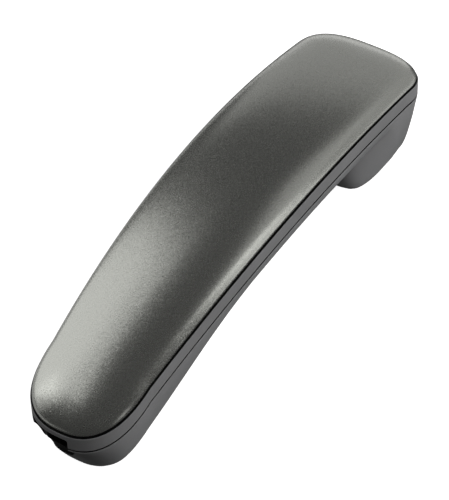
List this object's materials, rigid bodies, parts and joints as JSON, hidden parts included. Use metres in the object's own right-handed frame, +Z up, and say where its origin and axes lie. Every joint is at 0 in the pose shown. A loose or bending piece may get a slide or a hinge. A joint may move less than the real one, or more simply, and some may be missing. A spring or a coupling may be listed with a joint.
{
  "type": "telephone handset",
  "caption": "Corded desk telephone handset: arched grip with a crowned painted cover, plastic band and lower case, raised earpiece cup, mouthpiece and a cord socket in the mouth end.",
  "frame": {"origin": "on the resting surface, under the middle of the handset's box, with the handset lying face down on its earpiece and mouthpiece", "axes": "+X along the handset towards the earpiece, +Z up through the crowned cover, +Y across it to the left"},
  "size_m": [0.2038, 0.0484, 0.0469],
  "materials": {
    "paint": "metallic flake satin lacquer",
    "casing": "fine moulded texture",
    "socket": "black moulding",
    "gold": "gold plated",
    "steel": "zinc plated",
    "magnet": "sintered, nickel plated",
    "board": "green circuit board",
    "foam": "foam",
    "mesh": "woven dust mesh",
    "rubber": "matt",
    "basket": "dark moulding",
    "diaphragm": "thin film",
    "copper": "enamelled copper wire",
    "red_lead": "insulation",
    "black_lead": "insulation",
    "yellow_lead": "insulation",
    "green_lead": "insulation"
  },
  "bodies": {
    "handset": {"top_cover": "paint", "upper_case": "casing", "lower_case": "casing", "receiver_retainer": "casing", "socket_housing": "socket", "ballast_weight": "steel", "case_screw_1": "steel", "case_screw_2": "steel", "retainer_screw_1": "steel", "retainer_screw_2": "steel", "pole_plate": "steel", "receiver_yoke": "steel", "mic_capsule": "steel", "receiver_magnet": "magnet", "socket_board": "board", "terminal_board": "board", "receiver_gasket": "foam", "ballast_pad_1": "foam", "ballast_pad_2": "foam", "ear_mesh": "mesh", "mic_mesh": "mesh", "mic_boot": "rubber", "receiver_front_cap": "basket", "receiver_basket": "basket", "receiver_lead_1": "red_lead", "receiver_lead_2": "black_lead", "mic_lead_1": "yellow_lead", "mic_lead_2": "green_lead"},
    "cone": {"receiver_cone": "diaphragm", "voice_coil": "copper"},
    "contact_1": {"socket_contact_1": "gold"},
    "contact_2": {"socket_contact_2": "gold"},
    "contact_3": {"socket_contact_3": "gold"},
    "contact_4": {"socket_contact_4": "gold"}
  },
  "joints": [
    {"name": "cone_travel", "type": "slide", "parent": "handset", "child": "cone", "axis": [0.1194, 0, 0.9928], "range_m": [-0.00035, 0.00035], "stiffness_N_per_m": 800},
    {"name": "contact_1_lift", "type": "hinge", "parent": "handset", "child": "contact_1", "pos_m": [-0.09659, 0.00019, 0.01863], "axis": [0, -1, 0], "range_deg": [0, 9], "stiffness_Nm_per_rad": 0.05},
    {"name": "contact_2_lift", "type": "hinge", "parent": "handset", "child": "contact_2", "pos_m": [-0.09659, 0.00146, 0.01863], "axis": [0, -1, 0], "range_deg": [0, 9], "stiffness_Nm_per_rad": 0.05},
    {"name": "contact_3_lift", "type": "hinge", "parent": "handset", "child": "contact_3", "pos_m": [-0.09659, 0.00274, 0.01863], "axis": [0, -1, 0], "range_deg": [0, 9], "stiffness_Nm_per_rad": 0.05},
    {"name": "contact_4_lift", "type": "hinge", "parent": "handset", "child": "contact_4", "pos_m": [-0.09659, 0.004, 0.01863], "axis": [0, -1, 0], "range_deg": [0, 9], "stiffness_Nm_per_rad": 0.05}
  ],
  "couplings": [
    {"joint": "contact_2_lift", "follows": "contact_1_lift", "ratio": 1},
    {"joint": "contact_3_lift", "follows": "contact_1_lift", "ratio": 1},
    {"joint": "contact_4_lift", "follows": "contact_1_lift", "ratio": 1}
  ]
}
